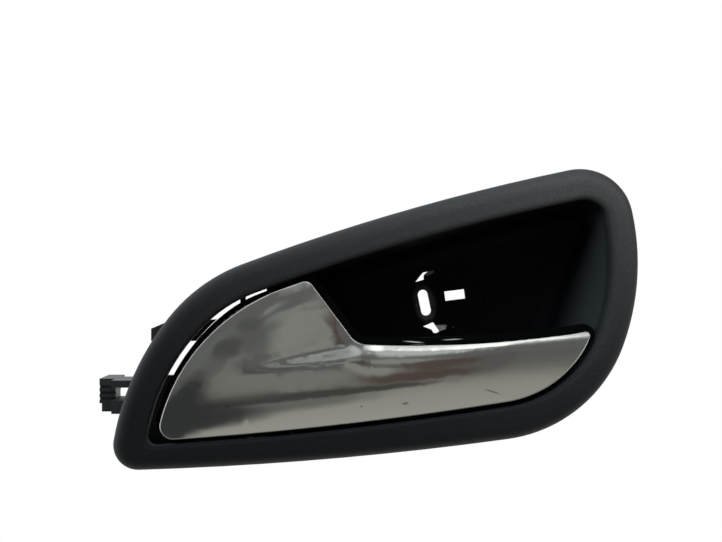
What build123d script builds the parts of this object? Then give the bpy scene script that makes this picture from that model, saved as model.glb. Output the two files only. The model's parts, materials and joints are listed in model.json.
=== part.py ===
from build123d import *
import os
from math import cos, exp, hypot, radians, sin, sqrt, tan

# Inside release handle of a car door, for a right-hand door.
# Seen from the seat, X runs to the right, Z up and Y into the door.
# Depths count from the front face of the bezel flange. The main screw's seat is the plane Y = 0.

# Bezel outline: virtual corners, and how far each side bulges out of its chord
BOTTOM_LEFT = (-103.9, -53.9)
BOTTOM_RIGHT = (46.2, -40.6)
TOP_RIGHT = (60.5, 46.9)
TOP_LEFT = (-72.0, 9.1)
BOTTOM_BULGE = 2.5
RIGHT_BULGE = 13.7
TOP_BULGE = 3.3
LEFT_BULGE = 7.3
BOTTOM_LEFT_RADIUS = 8.2
BOTTOM_RIGHT_RADIUS = 46.6
TOP_RIGHT_RADIUS = 17.4
TOP_LEFT_RADIUS = 55.0

# Bezel flange: widths to the mouth, rolled edges, skirt and lip
FLANGE_BOTTOM = 7.6
FLANGE_RIGHT = 9.2
FLANGE_TOP = 10.3
FLANGE_LEFT = 11.2
MOUTH_RISE = 3.6
MOUTH_SWELL = 1.2
MOUTH_HEEL_RADIUS = 3.0
ROLL_BOTTOM = 1.2
ROLL_RIGHT = 4.0
ROLL_TOP = 2.0
ROLL_LEFT = 1.5
FLANGE_THICKNESS = 2.6
FLANGE_EDGE_RADIUS = 5.0
SKIRT_WALL = 2.4
SKIRT_DEPTH = 12.0
SKIRT_REBATE = 0.4
LIP_WALL = 1.8
LIP_DEPTH = 6.0
RIB_WIDTH = 1.8
RIB_DEPTH = 10.0

# Finger bowl
FACE_TO_SEAT = 40.0
SCREW_BOSS_HEIGHT = 2.0
FLOOR_THICKNESS = 2.5
BOWL_WALL = 2.2
PARTITION_X = -42.5
PARTITION_SETBACK = 4.0
BOWL_STRAIGHT = 1.0
BOWL_DRAFT_TOP = 3.0
BOWL_DRAFT_BOTTOM = 5.0
FLOOR_EDGE_X = 45.3
FLOOR_EDGE_LEAN = 22.8
FLOOR_CORNER_CLOSING = 32.6
FLOOR_TOP_RADIUS = 7.0
FLOOR_ROUND = 6.5

# Openings in the bowl floor
SCREW_SLOT_WIDTH = 3.6
SCREW_SLOT_LENGTH = 9.2
SCREW_SLOT_TILT = 11.8
SCREW_BOSS_WALL = 1.7
CAP_POCKET_RADIUS = 12.6
CAP_POCKET_X = 8.5
CAP_POCKET_Z = 0.5
CAP_POCKET_DEPTH = 0.8
CAP_KEY_LENGTH = 7.0
CAP_KEY_WIDTH = 3.3
CAP_KEY_X = 10.6
CAP_KEY_Z = 2.7
CAP_KEY_TILT = 7.0
CAP_LATCH_UPPER = ((-3.2, 7.2), (-1.7, 9.2), (-0.6, 10.5), (1.2, 10.9), (0.0, 9.9), (-0.3, 9.2), (-0.2, 8.1))
CAP_LEDGE_UPPER = ((1.2, 10.9), (3.4, 11.4), (3.3, 10.3), (1.0, 9.3), (0.0, 9.9))
CAP_LATCH_LOWER = ((-0.5, -8.3), (3.0, -6.8), (3.7, -7.8), (5.2, -10.0), (4.4, -10.6), (3.2, -10.6), (2.5, -9.4))
CAP_LEDGE_LOWER = ((3.7, -7.8), (4.4, -7.4), (8.0, -7.4), (7.5, -9.2), (5.2, -10.0))
CAP_LEDGE_DEPTH = 0.8
SCREW_RING_HEIGHT = 0.9

# Lever outline
LEVER_GAP_LEFT = 3.4
LEVER_GAP_TOP = 1.5
LEVER_GAP_BOTTOM = 1.6
LEVER_GAP_RIGHT = 2.0
LEVER_HEEL_RADIUS = 4.5
WING_TOP = (-38.8, 8.15)
WING_ROOT = (-23.6, -12.3)
GRIP_END = (58.0, -7.1)
GRIP_SAG = 2.2
WING_TOP_RADIUS = 3.0
WING_ROOT_RADIUS = 7.0
TIP_RADIUS = 1.5

# Lever face, in lever axes: U along the bar from the pin, V across it
LEVER_PROUD = 1.0
LEVER_TILT = 6.5
CREST_V = -2.5
HEEL_V = -15.0
CROWN_DROP = 1.6
STEP_V = 4.2
STEP_START_WIDTH = 2.7
STEP_TOP_V = 10.6
STEP_RUN = 43.0
STEP_DROP = 1.3
GRIP_ROLL_V = -2.0
GRIP_TOP_V = 6.0
GRIP_DROP = 2.2
GRIP_TAPER_RUN = 22.0
TIP_START_U = 92.0
TIP_DROP = 2.6
WING_EDGE_FALL = 1.0
WING_EDGE_BAND = 10.0
LEVER_EDGE_RADIUS = 0.8

# Lever cover and core
LEVER_BACK = 7.0
COVER_SKIN = 2.2
COVER_FIT = 0.3
CORE_PLATE = 2.2
CORE_WALL = 2.0
CORE_RIM = 2.0
CORE_GAP_LEFT = 1.4
CORE_GAP_TOP = 0.6
CORE_GAP_BOTTOM = 0.4
CORE_GAP_RIGHT = 0.8

# Hinge
PIVOT_X = -66.5
PIVOT_Z = -27.2
PIVOT_DEPTH = 8.5
PIN_RADIUS = 2.0
RUNNING_CLEARANCE = 0.05
PRESS_CLEARANCE = 0.02
KNUCKLE_RADIUS = 4.4
KNUCKLE_LENGTH = 4.6
SPRING_ROOM = 6.4
SIDE_CLEARANCE = 0.4
EAR_RADIUS = 3.8
EAR_THICKNESS = 2.8
ARM_THICKNESS = 3.0
SWING_ROOM = 6.0

# Return spring
WIRE_RADIUS = 0.6
COIL_RADIUS = 3.2
COIL_TURNS = 3
COIL_PITCH = 1.4
SPRING_TAIL = 6.5
SPRING_LEG = 4.0
SPRING_GAP = 0.1
SPRING_STOP = 2.0

# Release crank on the lever core
CRANK_RADIUS = 24.0
CRANK_WIDTH = 6.4
CRANK_THICKNESS = 4.0
CRANK_EYE_RADIUS = 4.5
CABLE_HOOK_RADIUS = 1.6
PULL_ANGLE = 23.0
PULL_STOP_GAP = 0.4

# Chassis
CHASSIS_CLEARANCE = 0.5
CHASSIS_PLATE = 3.0
CHASSIS_INSET = 1.0
CHASSIS_RING = 5.4
CHASSIS_END_X = -36.0
CROSS_BAR_LEFT = -53.5
CROSS_BAR_DEPTH = 7.0
TAB_LOW_Z = -12.1
TAB_HIGH_Z = -4.7
TAB_FALL = 1.5
TAB_END_X = -91.8
TAB_TAPER = 4.2
TAB_TAPER_FALL = 1.8
TAB_CLEARANCE = 0.5
LOWER_PLATE_Z = -23.5
THIN_RIB_X = -61.4
THIN_RIB_WIDTH = 1.7
BOWL_RIB_REACH = 2.0

# Cable holder on the chassis
HOLDER_LEFT_X = -110.4
HOLDER_RIGHT_X = -105.0
HOLDER_TOP_Z = -25.2
HOLDER_HEIGHT = 11.1
HOLDER_FRONT = 20.0
CONDUIT_RADIUS = 3.1
CONDUIT_THROAT = 5.2
HOLDER_BACK_WALL = 1.5
HOLDER_BAR_BACK = 29.0
HOLDER_BAR_TOP = 2.4
HOLDER_BAR_BOTTOM = 4.4
HOLDER_GROOVE = 0.8
HOLDER_STEP = 0.8
HOLDER_STEP_HEIGHT = 2.8
BAR_ROOT_X = -90.0

# Screws and rubber buffer
SCREW_SHANK_RADIUS = 1.25
SCREW_PILOT_CLEARANCE = 0.05
SCREW_HOLE_CLEARANCE = 0.3
SCREW_HEAD_RADIUS = 2.8
SCREW_HEAD_HEIGHT = 1.8
SCREW_GRIP = 7.5
SCREW_BOSS_RADIUS = 3.0
SCREW_INSET = 5.2
SCREW_TOP_X = -58.5
SCREW_BOTTOM_X = -58.5
SCREW_HEEL_X = -96.0
BUFFER_RADIUS = 3.5
BUFFER_STEM_RADIUS = 1.8
BUFFER_GAP = 0.1
BUFFER_V = 9.0

# Values that follow from the sizes above
FLOOR_DEPTH = FACE_TO_SEAT - SCREW_BOSS_HEIGHT - FLOOR_THICKNESS
FLOOR_BACK = FLOOR_DEPTH + FLOOR_THICKNESS
FLOOR_CORNER_RADIUS = BOTTOM_RIGHT_RADIUS - FLOOR_CORNER_CLOSING
MOUTH_INSETS = (FLANGE_BOTTOM, FLANGE_RIGHT, FLANGE_TOP, FLANGE_LEFT)
MOUTH_ROLLS = (ROLL_BOTTOM, ROLL_RIGHT, ROLL_TOP, ROLL_LEFT)
LEVER_GAPS = (LEVER_GAP_BOTTOM, LEVER_GAP_RIGHT, LEVER_GAP_TOP, LEVER_GAP_LEFT)
CORE_GAPS = (CORE_GAP_BOTTOM, CORE_GAP_RIGHT, CORE_GAP_TOP, CORE_GAP_LEFT)
THROAT_DEPTH = max(MOUTH_ROLLS)
CHASSIS_FRONT = SKIRT_DEPTH + CHASSIS_CLEARANCE
CHASSIS_BACK = CHASSIS_FRONT + CHASSIS_PLATE
KNUCKLE_START = SPRING_ROOM / 2
KNUCKLE_END = KNUCKLE_START + KNUCKLE_LENGTH
EAR_START = KNUCKLE_END + SIDE_CLEARANCE
PIN_HALF_LENGTH = EAR_START + EAR_THICKNESS
CORE_BACK = LEVER_BACK + CORE_PLATE
STRAIGHT_DEPTH = CORE_BACK + BOWL_STRAIGHT
PARTITION_TOP = CORE_BACK + PARTITION_SETBACK
CHASSIS_FROM_PIN = CHASSIS_FRONT - PIVOT_DEPTH
CROSS_BAR_RIGHT = PARTITION_X - BOWL_WALL - CHASSIS_CLEARANCE
CABLE_DEPTH = PIVOT_DEPTH + CRANK_RADIUS
CRANK_V = -(KNUCKLE_START + KNUCKLE_END) / 2
FAR = 400.0

PIVOT = Plane(
    origin=(PIVOT_X, PIVOT_DEPTH - FACE_TO_SEAT, PIVOT_Z),
    x_dir=(cos(radians(LEVER_TILT)), 0, sin(radians(LEVER_TILT))),
    z_dir=(-sin(radians(LEVER_TILT)), 0, cos(radians(LEVER_TILT))),
)


# Shared helpers


def depth_plane(depth):
    """Drawing plane at a depth behind the face, with X to the right and Z up."""
    return Plane.XZ.offset(FACE_TO_SEAT - depth)


def slab(outline, near, far):
    """Solid with a front-view outline, from the near to the far depth."""
    return extrude(depth_plane(far) * outline, far - near)


def block(x_low, x_high, near, far, z_low, z_high):
    """Box between two X values, two depths and two Z values."""
    outline = Pos((x_low + x_high) / 2, (z_low + z_high) / 2) * Rectangle(x_high - x_low, z_high - z_low)
    return slab(outline, near, far)


def pivot_box(u_low, u_high, y_low, y_high, v_low, v_high):
    """Box in lever axes: U along the bar, Y back from the pin, V along the pin."""
    box = Box(u_high - u_low, y_high - y_low, v_high - v_low)
    return PIVOT * Pos((u_low + u_high) / 2, (y_low + y_high) / 2, (v_low + v_high) / 2) * box


def pivot_rod(radius, v_low, v_high, u=0, y=0):
    """Round bar along the pin direction, in lever axes."""
    return PIVOT * Pos(u, y, (v_low + v_high) / 2) * Cylinder(radius, v_high - v_low)


def y_rod(x, z, radius, near, far):
    """Round bar along Y between two depths."""
    return slab(Pos(x, z) * Circle(radius), near, far)


def half_plane_right(x):
    """Everything to the right of an X value, in the front view."""
    return Pos(x + FAR / 2, 0) * Rectangle(FAR, FAR)


def half_plane_left(x):
    """Everything to the left of an X value, in the front view."""
    return Pos(x - FAR / 2, 0) * Rectangle(FAR, FAR)


def limited(value):
    """A value held between 0 and 1."""
    return min(max(value, 0.0), 1.0)


def eased(value):
    """A value held between 0 and 1 with soft ends."""
    value = limited(value)
    return value * value * (3 - 2 * value)


# Outlines in the front view


def side_circle(start, end, bulge):
    """Centre and radius of the arc that bulges out of the chord from start to end."""
    start = Vector(*start)
    end = Vector(*end)
    chord = end - start
    radius = ((chord.length / 2) ** 2 + bulge**2) / (2 * bulge)
    outward = Vector(chord.Y, -chord.X).normalized()
    return (start + end) * 0.5 + outward * (bulge - radius), radius


def side_circles(inner):
    """Circles of the bottom, right, top and left sides. Inner outlines rise at the right and swell at the left."""
    lifted = (BOTTOM_RIGHT[0], BOTTOM_RIGHT[1] + (MOUTH_RISE if inner else 0))
    left_bulge = LEFT_BULGE + (MOUTH_SWELL if inner else 0)
    return (
        side_circle(BOTTOM_LEFT, lifted, BOTTOM_BULGE),
        side_circle(BOTTOM_RIGHT, TOP_RIGHT, RIGHT_BULGE),
        side_circle(TOP_RIGHT, TOP_LEFT, TOP_BULGE),
        side_circle(TOP_LEFT, BOTTOM_LEFT, left_bulge),
    )


def meeting(first, second, near):
    """The point where two circles cross, nearest to a given point."""
    (centre_a, radius_a), (centre_b, radius_b) = first, second
    gap = centre_b - centre_a
    along = (radius_a**2 - radius_b**2 + gap.length**2) / (2 * gap.length)
    aside = sqrt(radius_a**2 - along**2)
    direction = gap.normalized()
    middle = centre_a + direction * along
    offside = Vector(-direction.Y, direction.X) * aside
    return min((middle + offside, middle - offside), key=lambda point: (point - Vector(*near)).length)


def sharp_outline(insets, inner):
    """The four bulged sides moved inward by their insets, meeting in sharp corners."""
    circles = [(centre, radius - inset) for (centre, radius), inset in zip(side_circles(inner), insets)]
    virtual = (BOTTOM_LEFT, BOTTOM_RIGHT, TOP_RIGHT, TOP_LEFT)
    corners = [meeting(circles[side - 1], circles[side], virtual[side]) for side in range(4)]
    sides = []
    for side, (centre, radius) in enumerate(circles):
        start = corners[side]
        end = corners[(side + 1) % 4]
        outward = ((start + end) * 0.5 - centre).normalized()
        sides.append(ThreePointArc(start, centre + outward * radius, end))
    return make_face(sides)


def rounded(face, corners):
    """The face with its vertex nearest to each given corner rounded to the given radius."""
    for corner, radius in corners:
        vertex = face.vertices().sort_by_distance(corner)[0]
        face = fillet(vertex, radius)
    return face


def outline(insets, inner=False, heel_radius=MOUTH_HEEL_RADIUS):
    """The bezel outline moved inward, with corner radii that shrink with the insets."""
    bottom, right, top, left = insets
    corners = (
        (BOTTOM_LEFT, max(BOTTOM_LEFT_RADIUS - (bottom + left) / 2, heel_radius)),
        (BOTTOM_RIGHT, BOTTOM_RIGHT_RADIUS - (bottom + right) / 2),
        (TOP_RIGHT, TOP_RIGHT_RADIUS - (top + right) / 2),
        (TOP_LEFT, TOP_LEFT_RADIUS - (top + left) / 2),
    )
    return rounded(sharp_outline(insets, inner), corners)


def even_outline(inset):
    """The bezel outline moved inward by one distance all round."""
    return outline((inset, inset, inset, inset))


def mouth(grow=0.0):
    """The edge of the flange round the lever and the bowl, grown outward by grow."""
    return outline([inset - grow for inset in MOUTH_INSETS], True)


def lever_outline():
    """Front view of the lever: it follows the mouth and is cut away above the grip."""
    insets = [inset + gap for inset, gap in zip(MOUTH_INSETS, LEVER_GAPS)]
    whole = outline(insets, True, LEVER_HEEL_RADIUS)
    slope = (WING_TOP[0] - WING_ROOT[0]) / (WING_TOP[1] - WING_ROOT[1])
    above = (WING_TOP[0] + slope * (TOP_RIGHT[1] - WING_TOP[1]), TOP_RIGHT[1])
    beside = (TOP_RIGHT[0] + RIGHT_BULGE, GRIP_END[1])
    corner = (TOP_RIGHT[0] + RIGHT_BULGE, TOP_RIGHT[1])
    grip = SagittaArc(WING_ROOT, GRIP_END, -GRIP_SAG)
    beyond = [Line(GRIP_END, beside), Line(beside, corner), Line(corner, above)]
    cut = make_face([Line(above, WING_ROOT), grip] + beyond)
    face = whole - rounded(cut, [(WING_ROOT, WING_ROOT_RADIUS)])
    return rounded(face, [(WING_TOP, WING_TOP_RADIUS), (GRIP_END, TIP_RADIUS)])


def core_field(clearance):
    """Front view that the core's rim may fill inside the mouth, grown outward by clearance."""
    insets = [inset + gap - clearance for inset, gap in zip(MOUTH_INSETS, CORE_GAPS)]
    return outline(insets, True, LEVER_HEEL_RADIUS + CORE_RIM + clearance)


# Bezel


def roll_opening(roll, depth):
    """How far a rounded edge of radius roll has still to close at a depth."""
    left = max(roll - depth, 0.0)
    return roll - sqrt(roll**2 - left**2)


def throat():
    """Cutter for the mouth: each side rolls inward from the face with its own radius."""
    steps = 6
    sections = []
    for step in range(steps + 1):
        depth = THROAT_DEPTH * (step / steps) ** 2
        insets = [inset - roll_opening(roll, depth) for inset, roll in zip(MOUTH_INSETS, MOUTH_ROLLS)]
        sections.append(depth_plane(depth) * outline(insets, True))
    return loft(sections, ruled=True)


def bowl_floor_outline(grow):
    """Front view of the bowl floor, grown outward by grow. Its right edge leans with the wall."""
    bottom = FLANGE_BOTTOM + BOWL_DRAFT_BOTTOM - grow
    top = FLANGE_TOP + BOWL_DRAFT_TOP - grow
    lean = Pos(FLOOR_EDGE_X + grow, 0) * Rot(0, 0, -FLOOR_EDGE_LEAN) * half_plane_left(0)
    face = sharp_outline((bottom, 0, top, 0), True) & half_plane_right(PARTITION_X - grow) & lean
    return rounded(face, [(BOTTOM_RIGHT, FLOOR_CORNER_RADIUS + grow), (TOP_RIGHT, FLOOR_TOP_RADIUS + grow)])


def bowl_solid(grow, near, far):
    """The bowl's inner space, or its outer form when grown by the wall."""
    rim = mouth(grow) & half_plane_right(PARTITION_X - grow)
    floor = depth_plane(far) * bowl_floor_outline(grow)
    solid = loft([depth_plane(near) * rim, depth_plane(STRAIGHT_DEPTH) * rim, floor], ruled=True)
    floor = solid.faces().sort_by(Axis.Y)[-1]
    edges = floor.edges().sort_by(Axis.X)[1:]
    return fillet(edges, FLOOR_ROUND + grow)


def floor_openings():
    """Cutters in the bowl floor: screw slot, cap seat round the raised ring, latch windows and their ledges."""
    near = FLOOR_DEPTH - FLOOR_THICKNESS
    far = FACE_TO_SEAT + FLOOR_THICKNESS
    tilt = Rot(0, 0, 90 + SCREW_SLOT_TILT)
    slot = slab(tilt * SlotOverall(SCREW_SLOT_LENGTH, SCREW_SLOT_WIDTH), near, far)
    seat_depth = FLOOR_DEPTH + CAP_POCKET_DEPTH
    pocket = y_rod(CAP_POCKET_X, CAP_POCKET_Z, CAP_POCKET_RADIUS, near, seat_depth)
    pocket -= slab(screw_boss_outline(), seat_depth - SCREW_RING_HEIGHT, seat_depth)
    key = Pos(CAP_KEY_X, CAP_KEY_Z) * Rot(0, 0, CAP_KEY_TILT) * Rectangle(CAP_KEY_LENGTH, CAP_KEY_WIDTH)
    cutters = slot + pocket + slab(key, near, far)
    for corners in (CAP_LATCH_UPPER, CAP_LATCH_LOWER):
        cutters += slab(make_face(Polyline(*corners, close=True)), near, far)
    for corners in (CAP_LEDGE_UPPER, CAP_LEDGE_LOWER):
        cutters += slab(make_face(Polyline(*corners, close=True)), near, seat_depth + CAP_LEDGE_DEPTH)
    return cutters


def screw_boss_outline():
    """Front view of the boss round the main screw's slot."""
    length = SCREW_SLOT_LENGTH + 2 * SCREW_BOSS_WALL
    width = SCREW_SLOT_WIDTH + 2 * SCREW_BOSS_WALL
    return Rot(0, 0, 90 + SCREW_SLOT_TILT) * SlotOverall(length, width)


def screw_places():
    """Front-view places of the chassis screws, under the middle of the flange."""
    bottom, right, top, left = side_circles(False)
    tab_z = (TAB_LOW_Z + TAB_HIGH_Z) / 2
    return (
        (circle_x(left, tab_z), tab_z),
        (SCREW_HEEL_X, circle_z(bottom, SCREW_HEEL_X, -1) + MOUTH_HEEL_RADIUS),
        (SCREW_BOTTOM_X, circle_z(bottom, SCREW_BOTTOM_X, -1)),
        (SCREW_TOP_X, circle_z(top, SCREW_TOP_X, 1)),
    )


def circle_x(circle, z):
    """Left X of a side circle at a height, moved inward to the screw line."""
    centre, radius = circle
    return centre.X - sqrt((radius - SCREW_INSET) ** 2 - (z - centre.Y) ** 2)


def circle_z(circle, x, side):
    """Height of a side circle at an X value, moved inward to the screw line."""
    centre, radius = circle
    return centre.Y + side * sqrt((radius - SCREW_INSET) ** 2 - (x - centre.X) ** 2)


def flange_shell():
    """Flange and skirt with a rolled outer edge, open at the back, its rim set back where the chassis covers it."""
    outside = slab(even_outline(0), 0, SKIRT_DEPTH)
    outside = fillet(outside.faces().sort_by(Axis.Y)[0].edges(), FLANGE_EDGE_RADIUS)
    inside = slab(even_outline(SKIRT_WALL), FLANGE_THICKNESS, SKIRT_DEPTH + 1)
    inside = fillet(inside.faces().sort_by(Axis.Y)[0].edges(), FLANGE_EDGE_RADIUS - SKIRT_WALL)
    rebate = slab(half_plane_left(CHASSIS_END_X + SKIRT_WALL), SKIRT_DEPTH - SKIRT_REBATE, SKIRT_DEPTH + 1)
    return outside - inside - rebate


def bezel_ribs():
    """Stiffening ribs between the bowl and the skirt."""
    field = slab(even_outline(SKIRT_WALL * 0.8), FLANGE_THICKNESS / 2, RIB_DEPTH)
    middle_x = (PARTITION_X + FLOOR_EDGE_X) / 2
    middle_z = (BOTTOM_RIGHT[1] + TOP_RIGHT[1]) / 2
    ribs = block(middle_x - RIB_WIDTH / 2, middle_x + RIB_WIDTH / 2, 0, RIB_DEPTH, -FAR, FAR)
    ribs += block(FLOOR_EDGE_X - RIB_WIDTH, FLOOR_EDGE_X, 0, RIB_DEPTH, -FAR, FAR)
    ribs += block(FLOOR_EDGE_X, FAR, 0, RIB_DEPTH, middle_z - RIB_WIDTH / 2, middle_z + RIB_WIDTH / 2)
    return ribs & field


def bezel():
    """The visible black moulding: flange, skirt, finger bowl, bosses and ribs."""
    body = flange_shell() + bezel_ribs()
    body += slab(mouth(LIP_WALL) & half_plane_left(PARTITION_X), FLANGE_THICKNESS / 2, LIP_DEPTH)
    body += bowl_solid(BOWL_WALL, FLANGE_THICKNESS / 2, FLOOR_BACK)
    body += slab(screw_boss_outline(), FLOOR_DEPTH + FLOOR_THICKNESS / 2, FACE_TO_SEAT)
    rib_depth = CHASSIS_FRONT + CROSS_BAR_DEPTH + CHASSIS_CLEARANCE
    rib = mouth(BOWL_WALL) & half_plane_right(CROSS_BAR_RIGHT - BOWL_RIB_REACH) & half_plane_left(PARTITION_X)
    body += slab(rib, rib_depth, rib_depth + RIB_WIDTH)
    for x, z in screw_places():
        body += y_rod(x, z, SCREW_BOSS_RADIUS, FLANGE_THICKNESS / 2, CHASSIS_FRONT)
    body -= throat()
    body -= slab(mouth() & half_plane_left(PARTITION_X), THROAT_DEPTH, PARTITION_TOP)
    body -= bowl_solid(0, THROAT_DEPTH, FLOOR_DEPTH)
    body -= floor_openings()
    pilot_radius = SCREW_SHANK_RADIUS + SCREW_PILOT_CLEARANCE
    pilot_end = CHASSIS_FRONT - SCREW_GRIP - 0.5
    for x, z in screw_places():
        body -= y_rod(x, z, pilot_radius, pilot_end, CHASSIS_FRONT + 1)
    return body


# Lever


def lever_axes(x, z):
    """Place along the bar and across it, from the pin, of a point in the front view."""
    tilt = radians(LEVER_TILT)
    along = (x - PIVOT_X) * cos(tilt) + (z - PIVOT_Z) * sin(tilt)
    across = (z - PIVOT_Z) * cos(tilt) - (x - PIVOT_X) * sin(tilt)
    return along, across


def front_view(u, v):
    """X and Z of a point given by its place along and across the bar."""
    tilt = radians(LEVER_TILT)
    return PIVOT_X + u * cos(tilt) - v * sin(tilt), PIVOT_Z + u * sin(tilt) + v * cos(tilt)


def wing_edge_distance(x, z):
    """Distance inward from the lever's left and upper edges."""
    bottom, right, top, left = side_circles(True)
    from_left = left[1] - FLANGE_LEFT - LEVER_GAP_LEFT - hypot(x - left[0].X, z - left[0].Y)
    from_top = top[1] - FLANGE_TOP - LEVER_GAP_TOP - hypot(x - top[0].X, z - top[0].Y)
    return min(from_left, from_top)


def face_depth(u, v):
    """Depth of the lever's front face: a crowned bar with the wing stepped back above it."""
    x, z = front_view(u, v)
    crown = CROWN_DROP * max((CREST_V - v) / (CREST_V - HEEL_V), 0.0) ** 2.2
    bar_share = eased((u - STEP_RUN + 5) / 14)
    run = limited(u / STEP_RUN)
    wing_band = STEP_START_WIDTH + (STEP_TOP_V - STEP_V - STEP_START_WIDTH) * run
    wing_step = STEP_DROP * eased(u / STEP_RUN) * eased((v - STEP_V) / wing_band)
    grip_top = GRIP_TOP_V + (STEP_TOP_V - GRIP_TOP_V) * exp(-max(u - STEP_RUN, 0.0) / GRIP_TAPER_RUN)
    share = max((v - GRIP_ROLL_V) / (grip_top - GRIP_ROLL_V), 0.0)
    grip_roll = GRIP_DROP * (share**3 if share < 1 else 3 * share - 2)
    step = grip_roll * bar_share + wing_step * (1 - bar_share)
    edge = WING_EDGE_FALL * max(1 - wing_edge_distance(x, z) / WING_EDGE_BAND, 0.0) ** 2
    tip = TIP_DROP * max((u - TIP_START_U) / (GRIP_END[0] - PIVOT_X - TIP_START_U), 0.0) ** 2
    return crown + step + edge * (1 - bar_share) + tip - LEVER_PROUD


def face_solid(lever, shift):
    """Everything behind the lever's front face, with the face moved back by shift."""
    margin = 3.0
    columns = 60
    rows = 30
    corners = [lever_axes(vertex.X, vertex.Y) for vertex in lever.vertices()]
    u_low = min(u for u, v in corners) - margin
    u_high = max(u for u, v in corners) + margin
    v_low = min(v for u, v in corners) - margin
    v_high = max(v for u, v in corners) + margin
    grid = []
    for column in range(columns + 1):
        u = u_low + (u_high - u_low) * column / columns
        line = []
        for row in range(rows + 1):
            v = v_low + (v_high - v_low) * row / rows
            x, z = front_view(u, v)
            line.append((x, face_depth(u, v) + shift - FACE_TO_SEAT, z))
        grid.append(line)
    face = Face.make_surface_from_array_of_points(grid, tol=0.02, smoothing=(1, 1, 1), max_deg=8)
    return Solid.extrude(face, Vector(0, FACE_TO_SEAT, 0))


def lever_cover():
    """Plated shell of the lever: crowned grip bar, wing stepped back, walls round the edge."""
    lever = lever_outline()
    near = -FACE_TO_SEAT
    solid = slab(lever, near, LEVER_BACK) & face_solid(lever, 0)
    front = solid.faces().filter_by(GeomType.BSPLINE)[0]
    solid = fillet(front.edges(), LEVER_EDGE_RADIUS)
    hollow = slab(offset(lever, -COVER_SKIN), near, LEVER_BACK + 1)
    return solid - (hollow & face_solid(lever, COVER_SKIN))


def swing_pockets():
    """Room in the core for the chassis ears, the pin and the spring, over the whole swing."""
    reach = CORE_BACK - PIVOT_DEPTH + 1
    ear_low = EAR_START - SIDE_CLEARANCE
    ear_high = PIN_HALF_LENGTH + SIDE_CLEARANCE
    room = pivot_box(-SWING_ROOM, SWING_ROOM, -FAR / 10, reach, ear_low, ear_high)
    room += pivot_box(-SWING_ROOM, SWING_ROOM, -FAR / 10, reach, -ear_high, -ear_low)
    coil = COIL_RADIUS + WIRE_RADIUS + SIDE_CLEARANCE
    room += pivot_box(-coil, coil, -FAR / 10, reach, -KNUCKLE_START, KNUCKLE_START)
    return room


def spring_abutment():
    """Small wall beside the spring's leg, between the core plate and the upper knuckle."""
    low = COIL_RADIUS + WIRE_RADIUS + SPRING_GAP
    v_low = COIL_PITCH * COIL_TURNS / 2 - 2 * WIRE_RADIUS
    return pivot_box(low, low + SPRING_STOP, -SPRING_LEG, CORE_BACK - PIVOT_DEPTH, v_low, KNUCKLE_START)


def lever_core():
    """Black moulding behind the cover: tray, rim, knuckles and release crank."""
    lever = lever_outline()
    inner = offset(lever, -COVER_SKIN - COVER_FIT)
    near = -FACE_TO_SEAT
    tray = slab(inner, near, LEVER_BACK) & face_solid(lever, COVER_SKIN + COVER_FIT)
    tray -= slab(offset(inner, -CORE_WALL), near, LEVER_BACK)
    core = slab(offset(lever, CORE_RIM) & core_field(0.0), LEVER_BACK, CORE_BACK) + tray
    for v_low in (KNUCKLE_START, -KNUCKLE_END):
        v_high = v_low + KNUCKLE_LENGTH
        core += pivot_rod(KNUCKLE_RADIUS, v_low, v_high)
        core += pivot_box(-KNUCKLE_RADIUS, KNUCKLE_RADIUS, 0, CORE_BACK - PIVOT_DEPTH, v_low, v_high)
    core -= swing_pockets()
    core += spring_abutment()
    low = CRANK_V - CRANK_THICKNESS / 2
    high = CRANK_V + CRANK_THICKNESS / 2
    core += pivot_box(-CRANK_WIDTH / 2, CRANK_WIDTH / 2, 0, CRANK_RADIUS, low, high)
    core += pivot_rod(CRANK_EYE_RADIUS, low, high, y=CRANK_RADIUS)
    core -= pivot_rod(CABLE_HOOK_RADIUS, low - 1, high + 1, y=CRANK_RADIUS)
    core -= pivot_rod(PIN_RADIUS + RUNNING_CLEARANCE, -PIN_HALF_LENGTH, PIN_HALF_LENGTH)
    return core


def pivot_pin():
    """Steel pin through the chassis ears and the knuckles."""
    pin = pivot_rod(PIN_RADIUS, -PIN_HALF_LENGTH, PIN_HALF_LENGTH)
    return chamfer(pin.edges().filter_by(GeomType.CIRCLE), PIN_RADIUS / 5)


def return_spring():
    """Torsion spring round the pin: a tail on the chassis below, a leg on the lever above."""
    height = COIL_PITCH * COIL_TURNS
    coil = Pos(0, 0, -height / 2) * Helix(COIL_PITCH, height, COIL_RADIUS, lefthand=True)
    tail = Line(coil @ 0 - (coil % 0) * SPRING_TAIL, coil @ 0)
    leg = Line(coil @ 1, coil @ 1 + (coil % 1) * SPRING_LEG)
    section = Plane(tail @ 0, z_dir=tail % 0) * Circle(WIRE_RADIUS)
    return PIVOT * sweep(section, Wire([tail, coil.edge(), leg]))


# Chassis


def chassis_ring():
    """Plate under the flange, open under the lever, with the tab and the cross bar."""
    ring = even_outline(CHASSIS_INSET) - even_outline(CHASSIS_INSET + CHASSIS_RING)
    plate = slab(ring & half_plane_left(CHASSIS_END_X), CHASSIS_FRONT, CHASSIS_BACK)
    for x, z in screw_places():
        plate += y_rod(x, z, SCREW_BOSS_RADIUS + 0.5, CHASSIS_FRONT, CHASSIS_BACK)
    bar = even_outline(CHASSIS_INSET + CHASSIS_RING / 2) & half_plane_right(CROSS_BAR_LEFT)
    bar = bar & half_plane_left(CROSS_BAR_RIGHT)
    plate += slab(bar, CHASSIS_FRONT, CHASSIS_FRONT + CROSS_BAR_DEPTH)
    return plate


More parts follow.
